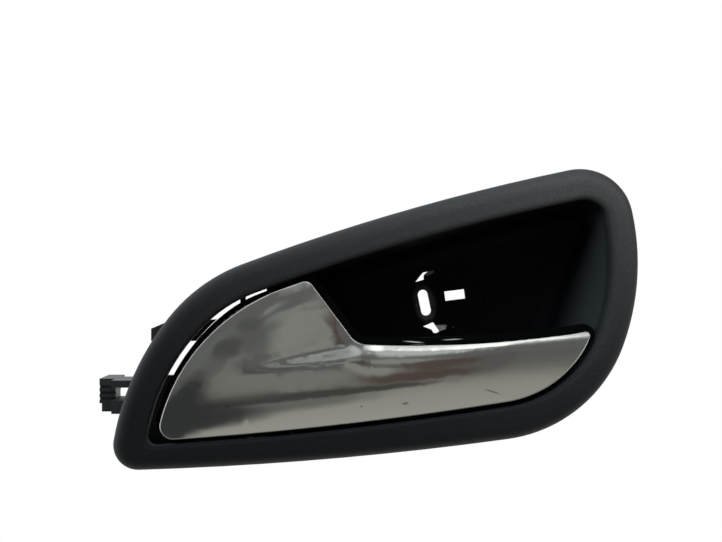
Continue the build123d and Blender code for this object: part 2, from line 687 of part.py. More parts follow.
def chassis_tab():
    """Flat tab across the ring at the upper left, falling to its end and clear of the lever."""
    low = (TAB_END_X, TAB_LOW_Z), (PIVOT_X, TAB_LOW_Z)
    shoulder = (TAB_END_X + TAB_TAPER, TAB_HIGH_Z - TAB_FALL)
    end = (TAB_END_X, shoulder[1] - TAB_TAPER_FALL)
    strip = make_face(Polyline(*low, (PIVOT_X, TAB_HIGH_Z), shoulder, end, close=True))
    return slab(strip - core_field(TAB_CLEARANCE), CHASSIS_FRONT, CHASSIS_BACK)


def lower_plate():
    """Wider part of the plate round the lever's heel."""
    field = even_outline(CHASSIS_INSET) & half_plane_left(CROSS_BAR_RIGHT)
    field = field & (Pos(0, LOWER_PLATE_Z - FAR / 2) * Rectangle(FAR, FAR))
    return slab(field - core_field(TAB_CLEARANCE), CHASSIS_FRONT, CHASSIS_BACK)


def chassis_ears():
    """Two bearing ears for the pin, each on an arm from the cross bar, and the spring's stop."""
    bar_u = lever_axes(CROSS_BAR_LEFT, PIVOT_Z)[0] + 2
    back = CHASSIS_FROM_PIN + ARM_THICKNESS
    arms = None
    for v_low in (EAR_START, -PIN_HALF_LENGTH):
        v_high = v_low + EAR_THICKNESS
        arm = pivot_rod(EAR_RADIUS, v_low, v_high)
        arm += pivot_box(-EAR_RADIUS, EAR_RADIUS, 0, back, v_low, v_high)
        arm += pivot_box(0, bar_u, CHASSIS_FROM_PIN, back, v_low, v_high)
        arm -= pivot_rod(PIN_RADIUS + PRESS_CLEARANCE, v_low - 1, v_high + 1)
        arms = arm if arms is None else arms + arm
    stop_u = COIL_RADIUS + WIRE_RADIUS + SPRING_GAP
    tail_v = -COIL_PITCH * COIL_TURNS / 2
    tail_low = tail_v - SPRING_STOP / 2
    arms += pivot_box(stop_u, bar_u, CHASSIS_FROM_PIN, back, tail_low, tail_low + SPRING_STOP)
    return arms


def pull_stop():
    """Block on the cross bar that the crank meets at the end of the pull."""
    back = CHASSIS_FROM_PIN + CROSS_BAR_DEPTH
    pull = radians(PULL_ANGLE)
    reach = back * tan(pull) + CRANK_WIDTH / 2 / cos(pull) + PULL_STOP_GAP
    bar_u = lever_axes(CROSS_BAR_LEFT, PIVOT_Z)[0] + 2
    low = CRANK_V - CRANK_THICKNESS / 2
    return pivot_box(reach, bar_u, back - ARM_THICKNESS, back, low, low + CRANK_THICKNESS)


def cable_holder():
    """Block for the cable conduit at the far left, on two bars, with a slot to the back."""
    holder_low = HOLDER_TOP_Z - HOLDER_HEIGHT
    holder_back = CABLE_DEPTH + CONDUIT_RADIUS + HOLDER_BACK_WALL
    cable_z = HOLDER_TOP_Z - HOLDER_HEIGHT / 2
    body = block(HOLDER_LEFT_X, HOLDER_RIGHT_X, HOLDER_FRONT, holder_back, holder_low, HOLDER_TOP_Z)
    bar_low = HOLDER_TOP_Z - HOLDER_BAR_TOP
    bar_high = holder_low + HOLDER_BAR_BOTTOM
    body += block(HOLDER_RIGHT_X, BAR_ROOT_X, CHASSIS_FRONT, HOLDER_BAR_BACK, bar_low, HOLDER_TOP_Z)
    body += block(HOLDER_RIGHT_X, BAR_ROOT_X, CHASSIS_FRONT, HOLDER_BAR_BACK, holder_low, bar_high)
    for share in (0.28, 0.46, 0.64):
        groove_z = HOLDER_TOP_Z - HOLDER_HEIGHT * share
        groove_high = groove_z + HOLDER_GROOVE
        groove_back = HOLDER_FRONT + HOLDER_GROOVE
        body -= block(HOLDER_LEFT_X - 1, HOLDER_RIGHT_X, HOLDER_FRONT - 1, groove_back, groove_z, groove_high)
    step_high = holder_low + HOLDER_STEP_HEIGHT
    step_right = HOLDER_LEFT_X + HOLDER_STEP
    body -= block(HOLDER_LEFT_X - 1, step_right, HOLDER_FRONT - 1, holder_back + 1, holder_low - 1, step_high)
    bore = Plane.YZ.offset(HOLDER_LEFT_X - 1) * Pos(CABLE_DEPTH - FACE_TO_SEAT, cable_z) * Circle(CONDUIT_RADIUS)
    body -= extrude(bore, HOLDER_RIGHT_X - HOLDER_LEFT_X + 2)
    throat_low = cable_z - CONDUIT_THROAT / 2
    throat_high = cable_z + CONDUIT_THROAT / 2
    body -= block(HOLDER_LEFT_X - 1, HOLDER_RIGHT_X + 1, CABLE_DEPTH, holder_back + 1, throat_low, throat_high)
    return body


def buffer_place():
    """Lever-axis place of the rubber buffer on the cross bar."""
    middle = (CROSS_BAR_LEFT + CROSS_BAR_RIGHT) / 2
    return PIVOT * Pos(lever_axes(middle, PIVOT_Z)[0], 0, BUFFER_V)


def chassis():
    """Carrier behind the bezel: plate, cross bar, pin ears and cable holder."""
    body = chassis_ring() + chassis_tab() + lower_plate() + chassis_ears() + pull_stop() + cable_holder()
    rib_high = TOP_RIGHT[1]
    rib = block(THIN_RIB_X - THIN_RIB_WIDTH / 2, THIN_RIB_X + THIN_RIB_WIDTH / 2, CHASSIS_FRONT,
                CHASSIS_BACK, PIVOT_Z + EAR_START, rib_high)
    body += rib & slab(even_outline(CHASSIS_INSET + CHASSIS_RING / 2), 0, FACE_TO_SEAT)
    hole_radius = SCREW_SHANK_RADIUS + SCREW_HOLE_CLEARANCE
    for x, z in screw_places():
        body -= y_rod(x, z, hole_radius, CHASSIS_FRONT - 1, CHASSIS_BACK + 1)
    place = buffer_place().position
    body -= y_rod(place.X, place.Z, BUFFER_STEM_RADIUS, CHASSIS_FRONT - 1, FACE_TO_SEAT)
    return body


def chassis_screws():
    """Four pan-head tapping screws through the chassis into the bezel bosses."""
    screws = []
    for x, z in screw_places():
        screw = y_rod(x, z, SCREW_SHANK_RADIUS, CHASSIS_FRONT - SCREW_GRIP, CHASSIS_BACK + SCREW_HEAD_HEIGHT / 2)
        head = y_rod(x, z, SCREW_HEAD_RADIUS, CHASSIS_BACK, CHASSIS_BACK + SCREW_HEAD_HEIGHT)
        rim = head.faces().sort_by(Axis.Y)[-1].edges()
        screw += fillet(rim, SCREW_HEAD_HEIGHT / 2)
        cross = Rectangle(SCREW_HEAD_RADIUS, SCREW_HEAD_RADIUS / 4)
        cross += Rectangle(SCREW_HEAD_RADIUS / 4, SCREW_HEAD_RADIUS)
        recess_near = CHASSIS_BACK + SCREW_HEAD_HEIGHT / 3
        screw -= slab(Pos(x, z) * cross, recess_near, CHASSIS_BACK + SCREW_HEAD_HEIGHT + 1)
        screws.append(screw.solid())
    return Compound(screws)


def rest_buffer():
    """Rubber stop: a head under the lever core, with a stem pushed through the cross bar."""
    place = buffer_place().position
    back = CHASSIS_FRONT + CROSS_BAR_DEPTH
    head = y_rod(place.X, place.Z, BUFFER_RADIUS, CORE_BACK + BUFFER_GAP, CHASSIS_FRONT)
    stem = y_rod(place.X, place.Z, BUFFER_STEM_RADIUS, CORE_BACK + BUFFER_GAP, back + BUFFER_STEM_RADIUS)
    bulb = y_rod(place.X, place.Z, BUFFER_STEM_RADIUS * 1.4, back, back + BUFFER_STEM_RADIUS)
    return head + stem + bulb


def main():
    os.makedirs("parts", exist_ok=True)
    pieces = {
        "bezel": bezel,
        "chassis": chassis,
        "lever_cover": lever_cover,
        "lever_core": lever_core,
        "pivot_pin": pivot_pin,
        "return_spring": return_spring,
        "rest_buffer": rest_buffer,
        "chassis_screws": chassis_screws,
    }
    for name, build in pieces.items():
        export_step(build(), os.path.join("parts", name + ".step"))


main()
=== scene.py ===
"""Inside release handle of a car door: finishes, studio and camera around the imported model.

The handle keeps its own frame: X runs to the right, Y into the door and Z up, in metres.
Every finish is procedural and reads Object coordinates, which equal the frame's own.
"""

import json
import logging
import math
from dataclasses import dataclass, field
from enum import Enum
from typing import Any, Optional, Union

import bmesh
import bpy
from mathutils import Matrix, Vector

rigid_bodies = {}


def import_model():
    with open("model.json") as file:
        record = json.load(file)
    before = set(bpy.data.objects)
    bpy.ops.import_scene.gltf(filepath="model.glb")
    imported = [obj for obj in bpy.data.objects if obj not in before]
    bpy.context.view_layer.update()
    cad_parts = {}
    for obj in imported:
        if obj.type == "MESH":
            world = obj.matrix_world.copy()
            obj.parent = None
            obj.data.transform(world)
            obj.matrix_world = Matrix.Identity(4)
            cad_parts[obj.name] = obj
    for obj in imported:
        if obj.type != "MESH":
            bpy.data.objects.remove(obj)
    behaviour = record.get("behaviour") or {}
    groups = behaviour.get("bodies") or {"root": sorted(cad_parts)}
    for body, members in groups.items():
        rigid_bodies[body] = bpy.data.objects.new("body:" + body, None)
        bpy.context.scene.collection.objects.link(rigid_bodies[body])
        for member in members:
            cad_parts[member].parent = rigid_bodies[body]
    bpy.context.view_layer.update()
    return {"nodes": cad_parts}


Tree = bpy.types.NodeTree
Source = Union[bpy.types.Node, bpy.types.NodeSocket]
Place = tuple[float, float, float]
Colour = tuple[float, float, float, float]

LOG = logging.getLogger("door_handle")
MM = 0.001
WHITE = "#ffffff"

# Settings that many nodes share
COLOURS = {"data_type": "RGBA"}
EASED = {"interpolation_type": "SMOOTHSTEP"}
TIMES = {"operation": "MULTIPLY"}
TIMES_PLUS = {"operation": "MULTIPLY_ADD"}
LARGER = {"operation": "MAXIMUM"}
DOT = {"operation": "DOT_PRODUCT"}
LENGTH = {"operation": "LENGTH"}


class Node(Enum):
    """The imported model's pieces by their node names."""

    BEZEL = "bezel"
    COVER = "lever_cover"
    CORE = "lever_core"
    CHASSIS = "chassis"
    PIN = "pivot_pin"
    SPRING = "return_spring"
    BUFFER = "rest_buffer"
    SCREWS = "chassis_screws"


# Shared helpers


def linear(code: str) -> Colour:
    """Turn an sRGB hex colour into linear values.

    Args:
        code: Six hex digits, with or without a leading hash.

    Returns:
        Linear red, green and blue, and an alpha of 1.
    """
    digits = code.lstrip("#")
    values = []
    for start in (0, 2, 4):
        share = int(digits[start:start + 2], 16) / 255
        values.append(share / 12.92 if share <= 0.04045 else ((share + 0.055) / 1.055) ** 2.4)
    return (values[0], values[1], values[2], 1.0)


def per_metre(size_mm: float) -> float:
    """Texture scale that gives a pattern about size_mm across in Object coordinates."""
    return 1 / (size_mm * MM)


def add(tree: Tree, kind: str, settings: Optional[dict[str, Any]] = None, **inputs: Any) -> bpy.types.Node:
    """Add one node, set its properties, and set or link its inputs.

    Args:
        tree: The node tree that gets the node.
        kind: The node's type name without its ShaderNode prefix.
        settings: Properties of the node itself.
        inputs: Values, sockets or nodes. A name is the input's name with underscores for
            spaces, or its number after the letter i. A node stands for its first output in use.

    Returns:
        The new node.
    """
    made = tree.nodes.new("ShaderNode" + kind)
    for name, value in (settings or {}).items():
        setattr(made, name, value)
    for name, value in inputs.items():
        numbered = name[0] == "i" and name[1:].isdigit()
        socket = made.inputs[int(name[1:])] if numbered else made.inputs[name.replace("_", " ")]
        if isinstance(value, bpy.types.Node):
            value = next(output for output in value.outputs if output.enabled)
        if isinstance(value, bpy.types.NodeSocket):
            tree.links.new(value, socket)
        else:
            socket.default_value = value
    return made


def seen_directly(tree: Tree) -> bpy.types.Node:
    """Tell the rays that show a surface from those that only carry its light.

    Args:
        tree: The node tree that gets the nodes.

    Returns:
        Node with 1 for camera, glossy and transmission rays and 0 for others.
    """
    rays = add(tree, "LightPath").outputs
    seen = add(tree, "Math", LARGER, i0=rays["Is Camera Ray"], i1=rays["Is Glossy Ray"])
    return add(tree, "Math", LARGER, i0=seen, i1=rays["Is Transmission Ray"])


def fresh_material(name: str) -> tuple[bpy.types.Material, Tree]:
    """Make an empty node material.

    Args:
        name: The material's name.

    Returns:
        The material and its node tree.
    """
    material = bpy.data.materials.new(name)
    material.use_nodes = True
    material.node_tree.nodes.clear()
    return material, material.node_tree


def dress(piece: bpy.types.Object, material: bpy.types.Material) -> None:
    """Give a piece one material in place of whatever it had."""
    piece.data.materials.clear()
    piece.data.materials.append(material)


def put(name: str, data: bpy.types.ID) -> bpy.types.Object:
    """Put a new object into the scene.

    Args:
        name: The object's name.
        data: Its mesh, lamp or camera data.

    Returns:
        The new object.
    """
    made = bpy.data.objects.new(name, data)
    bpy.context.scene.collection.objects.link(made)
    return made


def put_form(name: str, form: bmesh.types.BMesh) -> bpy.types.Object:
    """Put a new mesh object into the scene and free its form.

    Args:
        name: The name of the mesh and of the object.
        form: The finished form.

    Returns:
        The new object.
    """
    mesh = bpy.data.meshes.new(name)
    form.to_mesh(mesh)
    form.free()
    return put(name, mesh)


# Finishes


@dataclass(frozen=True)
class Range:
    """The two ends of a change: where it starts and where it is full."""

    start: float
    full: float

    def source(self) -> dict[str, float]:
        """The range as what a change runs through."""
        return {"From_Min": self.start, "From_Max": self.full}

    def target(self) -> dict[str, float]:
        """The range as what a change runs to."""
        return {"To_Min": self.start, "To_Max": self.full}


@dataclass(frozen=True)
class Oval:
    """A soft oval on the front of a piece, in millimetres along X and Z, turned about Y in degrees."""

    x: float
    z: float
    half_width: float
    half_height: float
    turn: float = 0.0
    softness: float = 0.3

    def share(self, tree: Tree, place: Source) -> bpy.types.Node:
        """Measure how far inside the oval a place lies.

        Args:
            tree: The material's node tree.
            place: The Object coordinates.

        Returns:
            Node with 1 inside the oval, 0 outside, and a soft edge between.
        """
        upright = add(tree, "Mapping", {"vector_type": "TEXTURE"}, Vector=place,
                      Location=(self.x * MM, 0.0, self.z * MM),
                      Rotation=(0.0, math.radians(self.turn), 0.0),
                      Scale=(self.half_width * MM, 1.0, self.half_height * MM))
        flat = add(tree, "VectorMath", TIMES, i0=upright, i1=(1.0, 0.0, 1.0))
        reach = add(tree, "VectorMath", LENGTH, i0=flat)
        edge = Range(1 + self.softness, 1 - self.softness)
        return add(tree, "MapRange", EASED, Value=reach, **edge.source())


def lay_marks(tree: Tree, place: Source, under: Union[Source, Colour], marks: tuple[Oval, ...],
              code: str) -> Union[Source, Colour]:
    """Lay soft marks of one colour over another colour.

    Args:
        tree: The material's node tree.
        place: The Object coordinates.
        under: The colour below the marks.
        marks: The marks in the order they are laid.
        code: The marks' colour as sRGB hex.

    Returns:
        The colour with the marks on it.
    """
    for mark in marks:
        under = add(tree, "Mix", COLOURS, i0=mark.share(tree, place), i6=under, i7=linear(code))
    return under


@dataclass(frozen=True)
class GrainedPlastic:
    """Black polypropylene, injection moulded with an etched grain and specks of dust, with painted light that
    pales it towards the top and right.

    The bowl's wall carries painted light on one side, and painted shade that deepens to black towards the
    floor. A ring round the main screw slot and the two latch ledges are painted paler, as light that falls on
    them. The wall, bowl, ring and ledge ranges are depths behind the flange's face. The grain is drawn as
    coarse as it needs to show.
    """

    name: str = "grained_polypropylene"
    refraction: float = 1.49
    face_y: float = -40.0 * MM
    flange_low: str = "#0b0e12"
    flange_high: str = "#14171b"
    flange_roughness: float = 0.52
    flange_specular: float = 0.22
    mottle_mm: float = 16.0
    mottle_roughness: float = 0.6
    mottle_swing: float = 0.12
    grain_mm: float = 0.75
    grain_blur: float = 0.6
    grain_range: Range = Range(0.55, 0.1)
    grain_strength: float = 0.35
    grain_relief: float = 0.06 * MM
    fine_share: float = 0.4
    # Painted light: the flange turns paler towards the top and a little to the right, as light from above
    # falls on it.
    top_light_colour: str = "#424445"
    top_light_range: Range = Range(-90.0 * MM, 50.0 * MM)
    top_light_lean: float = 0.25
    top_light_power: float = 3.0
    top_light_uneven: Range = Range(0.82, 1.3)
    # Painted light and shade: the wall's lit and shaded tones, mixed by which way it faces.
    lit_wall_colour: str = "#2a3033"
    shade_colour: str = "#090b0d"
    wall_range: Range = Range(0.1 * MM, 3.0 * MM)
    lit_side: Place = (-0.75, 0.0, 0.66)
    lit_range: Range = Range(0.0, 0.6)
    # Painted shade: the bowl darkens to near black with depth, where little light reaches.
    recess_shade_colour: str = "#040507"
    bowl_roughness: float = 0.5
    bowl_specular: float = 0.1
    bowl_range: Range = Range(12.0 * MM, 33.0 * MM)
    ring: Oval = Oval(0.0, 0.0, 3.8, 6.7, turn=-11.8, softness=0.22)
    ring_range: Range = Range(33.0 * MM, 35.0 * MM)
    ring_share: float = 0.66
    # Painted light: the raised ring round the screw slot is paler, in patches, where light falls on it.
    ring_lit_colour: str = "#4a4c4c"
    ring_lit_patch_mm: float = 3.5
    ring_lit_patch_range: Range = Range(0.3, 0.7)
    ring_lit_patch_shares: Range = Range(0.35, 1.25)
    # Painted light: the latch ledges deep in the bowl are pale where light catches them.
    ledge_lit_colour: str = "#8b8c8a"
    ledge_range: Range = Range(36.7 * MM, 36.8 * MM)
    back_range: Range = Range(0.2, 0.6)
    dust_colour: str = "#8d9194"
    dust_spacing_mm: float = 7.0
    dust_range: Range = Range(0.03, 0.012)
    dust_shares: Range = Range(0.0, 0.55)

    def flange(self, tree: Tree, place: Source, pattern: Source) -> bpy.types.Node:
        """Colour the flange: mottled grain under a patchy painted light that pales it towards the top.

        Args:
            tree: The material's node tree.
            place: The Object coordinates.
            pattern: The mottled grain.

        Returns:
            Node with the colour.
        """
        axes = add(tree, "SeparateXYZ", Vector=place).outputs
        # Painted light: a patchy pale tone that rises towards the top and right.
        height = add(tree, "Math", TIMES_PLUS, i0=axes["X"], i1=self.top_light_lean, i2=axes["Z"])
        rise = add(tree, "MapRange", Value=height, **self.top_light_range.source())
        even = add(tree, "Math", {"operation": "POWER"}, i0=rise, i1=self.top_light_power)
        patchy = add(tree, "MapRange", Value=pattern, **self.top_light_uneven.target())
        top_light = add(tree, "Math", TIMES, i0=even, i1=patchy)
        skin = add(tree, "Mix", COLOURS, i0=pattern, i6=linear(self.flange_low), i7=linear(self.flange_high))
        return add(tree, "Mix", COLOURS, i0=top_light, i6=skin, i7=linear(self.top_light_colour))

    def wall(self, tree: Tree, depth: Source, inside: Source, skin: Source) -> bpy.types.Node:
        """Colour the bowl's wall with painted light on one side and painted shade on the other, and the
        painted black shade of its depth, over the flange's skin.

        Args:
            tree: The material's node tree.
            depth: The depth behind the flange's face.
            inside: The share of the painted black shade deep in the bowl.
            skin: The flange's colour.

        Returns:
            Node with the colour.
        """
        normal = add(tree, "TexCoord").outputs["Normal"]
        # Painted light on the side that faces lit_side, painted shade on the other.
        facing = add(tree, "VectorMath", DOT, i0=normal, i1=self.lit_side)
        lit = add(tree, "MapRange", EASED, Value=facing, **self.lit_range.source())
        wall = add(tree, "Mix", COLOURS, i0=lit, i6=linear(self.shade_colour), i7=linear(self.lit_wall_colour))
        rolled = add(tree, "MapRange", EASED, Value=depth, **self.wall_range.source())
        skin = add(tree, "Mix", COLOURS, i0=rolled, i6=skin, i7=wall)
        # Painted shade: black that deepens into the bowl.
        return add(tree, "Mix", COLOURS, i0=inside, i6=skin, i7=linear(self.recess_shade_colour))

    def floor_lights_and_back(self, tree: Tree, place: Source, depth: Source, skin: Source) -> bpy.types.Node:
        """Colour the painted light on the ring and ledges in front, and the plain back.

        Args:
            tree: The material's node tree.
            place: The Object coordinates.
            depth: The depth behind the flange's face.
            skin: The colour of flange and bowl.

        Returns:
            Node with the colour.
        """
        # Painted light on the raised ring round the screw slot.
        on_floor = add(tree, "MapRange", EASED, Value=depth, To_Max=self.ring_share,
                       **self.ring_range.source())
        ring = add(tree, "Math", TIMES, i0=self.ring.share(tree, place), i1=on_floor)
        blots = add(tree, "TexNoise", Vector=place, Scale=per_metre(self.ring_lit_patch_mm), Detail=3.0)
        patchy = add(tree, "MapRange", Value=blots, **self.ring_lit_patch_range.source(), **self.ring_lit_patch_shares.target())
        ring_lit = add(tree, "Math", TIMES, i0=ring, i1=patchy)
        skin = add(tree, "Mix", COLOURS, i0=ring_lit, i6=skin, i7=linear(self.ring_lit_colour))
        # Painted light on the latch ledges.
        ledge = add(tree, "MapRange", EASED, Value=depth, **self.ledge_range.source())
        skin = add(tree, "Mix", COLOURS, i0=ledge, i6=skin, i7=linear(self.ledge_lit_colour))
        normal = add(tree, "TexCoord").outputs["Normal"]
        backward = add(tree, "SeparateXYZ", Vector=normal).outputs["Y"]
        behind = add(tree, "MapRange", EASED, Value=backward, **self.back_range.source())
        return add(tree, "Mix", COLOURS, i0=behind, i6=skin, i7=linear(self.flange_high))

    def material(self) -> bpy.types.Material:
        """Build the material.

        Returns:
            The material for the bezel.
        """
        material, tree = fresh_material(self.name)
        place = add(tree, "TexCoord").outputs["Object"]
        inward = add(tree, "SeparateXYZ", Vector=place).outputs["Y"]
        depth = add(tree, "Math", {"operation": "SUBTRACT"}, i0=inward, i1=self.face_y)
        # Share of the bowl: its own roughness and specular, and painted shade that deepens to black.
        inside = add(tree, "MapRange", EASED, Value=depth, **self.bowl_range.source())
        mottle = add(tree, "TexNoise", Vector=place, Scale=per_metre(self.mottle_mm), Detail=4.0,
                     Roughness=self.mottle_roughness)
        cells = add(tree, "TexVoronoi", {"feature": "SMOOTH_F1"}, Vector=place,
                    Scale=per_metre(self.grain_mm), Smoothness=self.grain_blur)
        tops = add(tree, "MapRange", Value=cells, **self.grain_range.source())
        skin = self.flange(tree, place, add(tree, "Math", TIMES, i0=mottle, i1=tops))
        skin = self.wall(tree, depth, inside, skin)
        skin = self.floor_lights_and_back(tree, place, depth, skin)
        specks = add(tree, "TexVoronoi", {"feature": "F1"}, Vector=place,
                     Scale=per_metre(self.dust_spacing_mm), Randomness=1.0)
        dust = add(tree, "MapRange", Value=specks, **self.dust_range.source(), **self.dust_shares.target())
        colour = add(tree, "Mix", COLOURS, i0=dust, i6=skin, i7=linear(self.dust_colour))
        dull = Range(self.flange_roughness, self.bowl_roughness)
        even = add(tree, "MapRange", Value=inside, **dull.target())
        rough = add(tree, "Math", TIMES_PLUS, i0=mottle, i1=self.mottle_swing, i2=even)
        fine = add(tree, "TexNoise", Vector=place, Scale=per_metre(self.grain_mm / 2), Detail=2.0)
        relief = add(tree, "Math", TIMES_PLUS, i0=fine, i1=self.fine_share, i2=tops)
        bump = add(tree, "Bump", Strength=self.grain_strength, Distance=self.grain_relief, Height=relief)
        shine = Range(self.flange_specular, self.bowl_specular)
        sheen = add(tree, "MapRange", Value=inside, **shine.target())
        shader = add(tree, "BsdfPrincipled", Base_Color=colour, Roughness=rough, Normal=bump,
                     IOR=self.refraction, Specular_IOR_Level=sheen)
        add(tree, "OutputMaterial", Surface=shader)
        return material


@dataclass(frozen=True)
class SatinChrome:
    """Satin chromium plated on ABS: a soft mirror with faint haze, finger smears and a few fine scratches."""

    name: str = "satin_chromium_plate"
    colour: str = "#c6c8c4"
    least_roughness: float = 0.03
    smear_mm: float = 22.0
    smear_roughness: float = 0.06
    haze_mm: float = 3.0
    haze_roughness: float = 0.03
    scratch_mm: float = 1.1
    scratch_stretch: float = 26.0
    scratch_turn: float = -7.0
    scratch_range: Range = Range(0.74, 0.82)
    scratch_roughness: float = 0.25
    scratch_strength: float = 0.3
    scratch_relief: float = 0.01 * MM
    mark_colour: str = "#8f8e8b"
    marks: tuple[Oval, ...] = (
        Oval(20.1, -27.7, 2.4, 0.26, turn=18.0, softness=0.6),
        Oval(-7.9, -31.5, 1.0, 0.40, turn=-8.0, softness=0.6),
        Oval(-65.1, -32.4, 0.36, 0.32, softness=0.6),
        Oval(-22.0, -32.5, 0.32, 0.28, softness=0.6),
    )

    def material(self) -> bpy.types.Material:
        """Build the material.

        Returns:
            The material for the lever's cover.
        """
        material, tree = fresh_material(self.name)
        place = add(tree, "TexCoord").outputs["Object"]
        smear = add(tree, "TexNoise", Vector=place, Scale=per_metre(self.smear_mm), Detail=3.0,
                    Roughness=0.55)
        haze = add(tree, "TexNoise", Vector=place, Scale=per_metre(self.haze_mm), Detail=5.0,
                   Roughness=0.7)
        along = add(tree, "Mapping", Vector=place, Rotation=(0.0, math.radians(self.scratch_turn), 0.0),
                    Scale=(1 / self.scratch_stretch, 1.0, 1.0))
        lines = add(tree, "TexNoise", Vector=along, Scale=per_metre(self.scratch_mm), Detail=1.0)
        scratch = add(tree, "MapRange", Value=lines, **self.scratch_range.source())
        rough = add(tree, "Math", TIMES_PLUS, i0=smear, i1=self.smear_roughness, i2=self.least_roughness)
        rough = add(tree, "Math", TIMES_PLUS, i0=haze, i1=self.haze_roughness, i2=rough)
        rough = add(tree, "Math", TIMES_PLUS, i0=scratch, i1=self.scratch_roughness, i2=rough)
        bump = add(tree, "Bump", {"invert": True}, Strength=self.scratch_strength,
                   Distance=self.scratch_relief, Height=scratch)
        colour = lay_marks(tree, place, linear(self.colour), self.marks, self.mark_colour)
        shader = add(tree, "BsdfPrincipled", Base_Color=colour, Metallic=1.0, Roughness=rough, Normal=bump)
        add(tree, "OutputMaterial", Surface=shader)
        return material


@dataclass(frozen=True)
class MouldedPlastic:
    """Plain moulded plastic or rubber: dark, with faint flow marks and any pale marks it is given, which on
    these pieces are painted highlights and painted light.

    The pores are drawn as coarse as they need to show.
    """

    name: str
    low: str
    high: str
    roughness: float
    specular: float = 0.5
    refraction: float = 1.5
    mark_colour: str = "#4c4c4e"
    marks: tuple[Oval, ...] = ()
    flow_mm: float = 9.0
    flow_twist: float = 0.6
    flow_swing: float = 0.18
    pore_mm: float = 0.6
    pore_strength: float = 0.2
    pore_relief: float = 0.04 * MM

    def material(self) -> bpy.types.Material:
        """Build the material.

        Returns:
            The material for a moulding.
        """
        material, tree = fresh_material(self.name)
        place = add(tree, "TexCoord").outputs["Object"]
        flow = add(tree, "TexNoise", Vector=place, Scale=per_metre(self.flow_mm), Detail=4.0,
                   Distortion=self.flow_twist)
        pores = add(tree, "TexNoise", Vector=place, Scale=per_metre(self.pore_mm), Detail=2.0)
        colour = add(tree, "Mix", COLOURS, i0=flow, i6=linear(self.low), i7=linear(self.high))
        colour = lay_marks(tree, place, colour, self.marks, self.mark_colour)
        rough = add(tree, "Math", TIMES_PLUS, i0=flow, i1=self.flow_swing,
                    i2=self.roughness - self.flow_swing / 2)
        bump = add(tree, "Bump", Strength=self.pore_strength, Distance=self.pore_relief, Height=pores)
        shader = add(tree, "BsdfPrincipled", Base_Color=colour, Roughness=rough, Normal=bump,
                     IOR=self.refraction, Specular_IOR_Level=self.specular)
        add(tree, "OutputMaterial", Surface=shader)
        return material


@dataclass(frozen=True)
class BareSteel:
    """Steel as drawn, ground or zinc plated: bright, with fine marks and patchy dullness."""

    name: str
    colour: str
    dull: str
    roughness: float
    patch_mm: float = 3.5
    patch_swing: float = 0.2
    mark_mm: float = 0.25
    mark_strength: float = 0.15
    mark_relief: float = 0.01 * MM

    def material(self) -> bpy.types.Material:
        """Build the material.

        Returns:
            The material for a steel piece.
        """
        material, tree = fresh_material(self.name)
        place = add(tree, "TexCoord").outputs["Object"]
        patch = add(tree, "TexNoise", Vector=place, Scale=per_metre(self.patch_mm), Detail=4.0)
        marks = add(tree, "TexNoise", Vector=place, Scale=per_metre(self.mark_mm), Detail=2.0)
        colour = add(tree, "Mix", COLOURS, i0=patch, i6=linear(self.dull), i7=linear(self.colour))
        rough = add(tree, "Math", TIMES_PLUS, i0=patch, i1=-self.patch_swing,
                    i2=self.roughness + self.patch_swing / 2)
        bump = add(tree, "Bump", Strength=self.mark_strength, Distance=self.mark_relief, Height=marks)
        shader = add(tree, "BsdfPrincipled", Base_Color=colour, Metallic=1.0, Roughness=rough, Normal=bump)
        add(tree, "OutputMaterial", Surface=shader)
        return material


# Sub-assemblies


@dataclass
class Bezel:
    """The black moulding with the flange and the finger bowl."""

    finish: GrainedPlastic = field(default_factory=GrainedPlastic)

    def build(self, nodes: dict[str, bpy.types.Object]) -> None:
        """Dress the bezel's node.

        Args:
            nodes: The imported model's objects by node name.
        """
        dress(nodes[Node.BEZEL.value], self.finish.material())


@dataclass
class Lever:
    """The plated cover and its black core, with two painted highlight streaks along the core's upper edge."""

    plate: SatinChrome = field(default_factory=SatinChrome)
    core: MouldedPlastic = MouldedPlastic(
        "moulded_black_abs", "#020303", "#050607", 0.55, specular=0.06, mark_colour="#a4a6a8",
        # Painted highlight: two pale streaks where the core's upper rim catches light.
        marks=(Oval(-5.0, -12.1, 2.6, 0.20, turn=4.0, softness=0.6),
               Oval(7.7, -11.3, 2.6, 0.17, turn=-3.0, softness=0.6)))

    def build(self, nodes: dict[str, bpy.types.Object]) -> None:
        """Dress the lever's two nodes.

        Args:
            nodes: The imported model's objects by node name.
        """
        dress(nodes[Node.COVER.value], self.plate.material())
        dress(nodes[Node.CORE.value], self.core.material())


@dataclass
class Carrier:
    """The chassis behind the bezel, with a painted lit patch on its tab, and its pin, spring, buffer and
    screws.
    """

    plastic: MouldedPlastic = MouldedPlastic(
        "moulded_glass_filled_nylon", "#12171a", "#1f2528", 0.48,
        # Painted light: a pale patch on the tab, which lies in shade between the flange and the lever.
        marks=(Oval(-73.8, -7.8, 7.7, 7.7, softness=0.43),))
    pin: BareSteel = BareSteel("ground_steel", "#c4c4c6", "#8e8e92", 0.25)
    spring: BareSteel = BareSteel("drawn_spring_wire", "#8d8d90", "#5b5b60", 0.32)
    screws: BareSteel = BareSteel("zinc_plated_steel", "#c9cbc8", "#8f928f", 0.34)
    rubber: MouldedPlastic = MouldedPlastic("moulded_rubber", "#0d0d0d", "#191919", 0.75)

    def build(self, nodes: dict[str, bpy.types.Object]) -> None:
        """Dress the carrier's nodes.

        Args:
            nodes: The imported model's objects by node name.
        """
        dress(nodes[Node.CHASSIS.value], self.plastic.material())
        dress(nodes[Node.PIN.value], self.pin.material())
        dress(nodes[Node.SPRING.value], self.spring.material())
        dress(nodes[Node.SCREWS.value], self.screws.material())
        dress(nodes[Node.BUFFER.value], self.rubber.material())


# Studio


